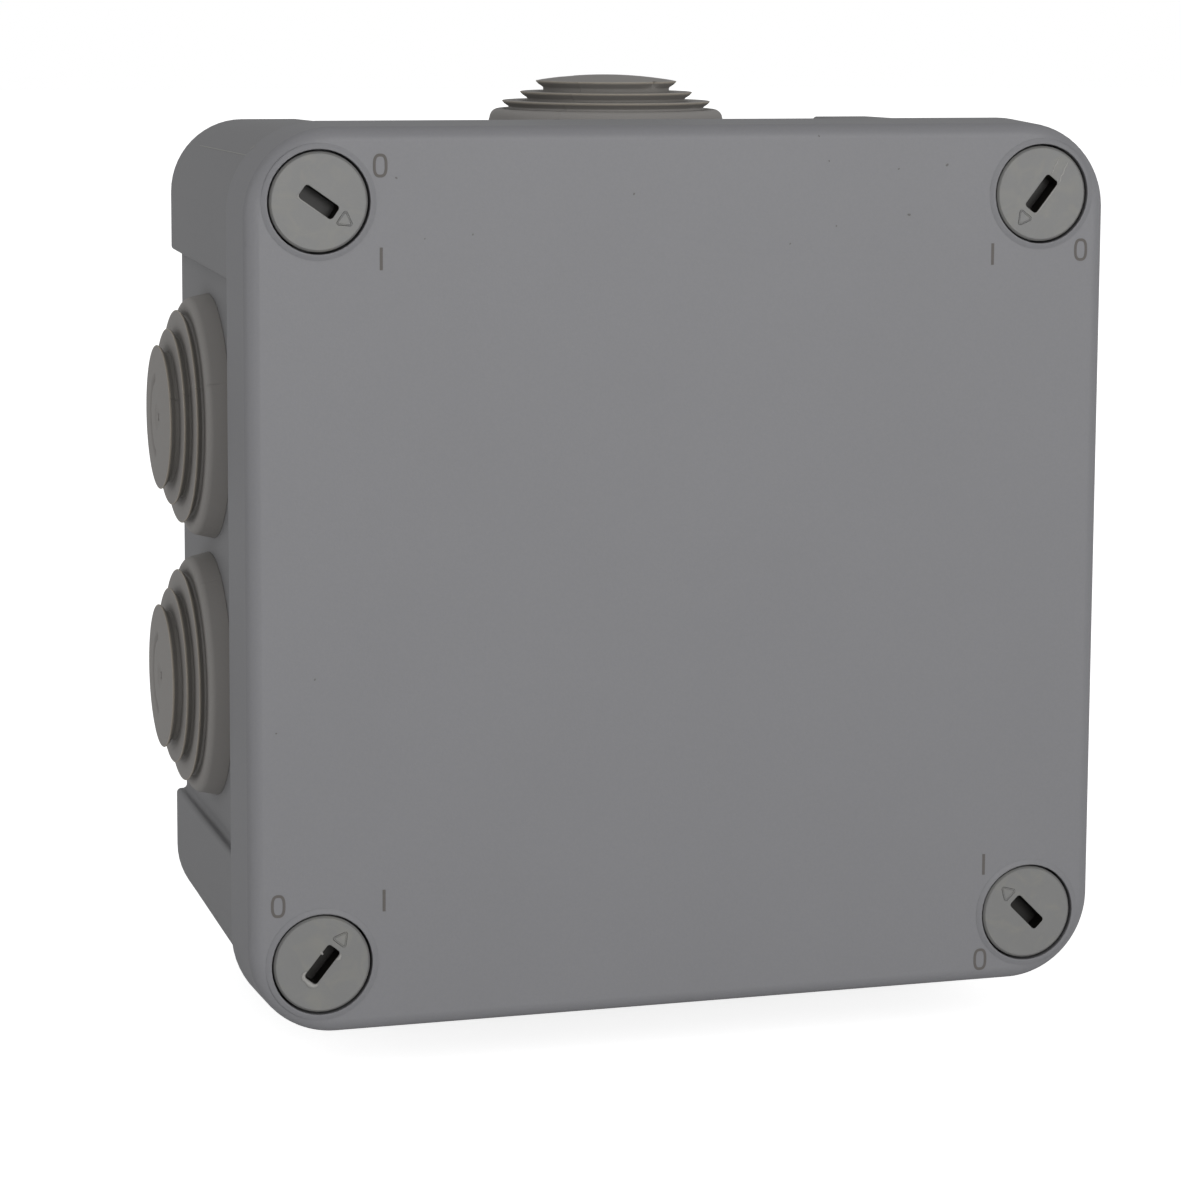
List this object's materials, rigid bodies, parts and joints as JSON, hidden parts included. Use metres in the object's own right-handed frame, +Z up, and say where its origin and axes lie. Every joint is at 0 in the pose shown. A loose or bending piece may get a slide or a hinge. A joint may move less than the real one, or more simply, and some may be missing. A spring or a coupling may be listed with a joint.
{
  "type": "electrical junction box",
  "caption": "Square surface-mount electrical junction box with a sealed lift-off cover, quarter-turn cover screws and stepped membrane cable grommets.",
  "frame": {"origin": "centre of the flat back face that lies against the wall", "axes": "+Z up the wall, +X to the right seen from the front, +Y into the wall; the cover faces -Y"},
  "size_m": [0.1146, 0.055, 0.1146],
  "materials": {
    "housing": "satin moulded",
    "cover": "fine moulded texture",
    "gasket": "soft matte",
    "screw": "smooth moulded",
    "grommet": "soft matte"
  },
  "bodies": {
    "base": {"base_box": "housing", "grommet_left_upper": "grommet", "grommet_left_lower": "grommet", "grommet_right_upper": "grommet", "grommet_right_lower": "grommet", "grommet_top": "grommet", "grommet_bottom_left": "grommet", "grommet_bottom_right": "grommet"},
    "cover": {"cover": "cover", "cover_gasket": "gasket"},
    "screw_top_left": {"cover_screw_top_left": "screw"},
    "screw_top_right": {"cover_screw_top_right": "screw"},
    "screw_bottom_left": {"cover_screw_bottom_left": "screw"},
    "screw_bottom_right": {"cover_screw_bottom_right": "screw"}
  },
  "joints": [
    {"name": "cover_lift", "type": "slide", "parent": "base", "child": "cover", "axis": [0, -1, 0], "range_m": [0, 0.072]},
    {"name": "screw_turn_top_left", "type": "hinge", "parent": "cover", "child": "screw_top_left", "pos_m": [-0.0438, -0.05, 0.0438], "axis": [0, -1, 0], "range_deg": [-10, 80]},
    {"name": "screw_turn_top_right", "type": "hinge", "parent": "cover", "child": "screw_top_right", "pos_m": [0.0438, -0.05, 0.0438], "axis": [0, -1, 0], "range_deg": [-7, 83]},
    {"name": "screw_turn_bottom_left", "type": "hinge", "parent": "cover", "child": "screw_bottom_left", "pos_m": [-0.0438, -0.05, -0.0438], "axis": [0, -1, 0], "range_deg": [-6, 84]},
    {"name": "screw_turn_bottom_right", "type": "hinge", "parent": "cover", "child": "screw_bottom_right", "pos_m": [0.0438, -0.05, -0.0438], "axis": [0, -1, 0], "range_deg": [0, 90]}
  ]
}
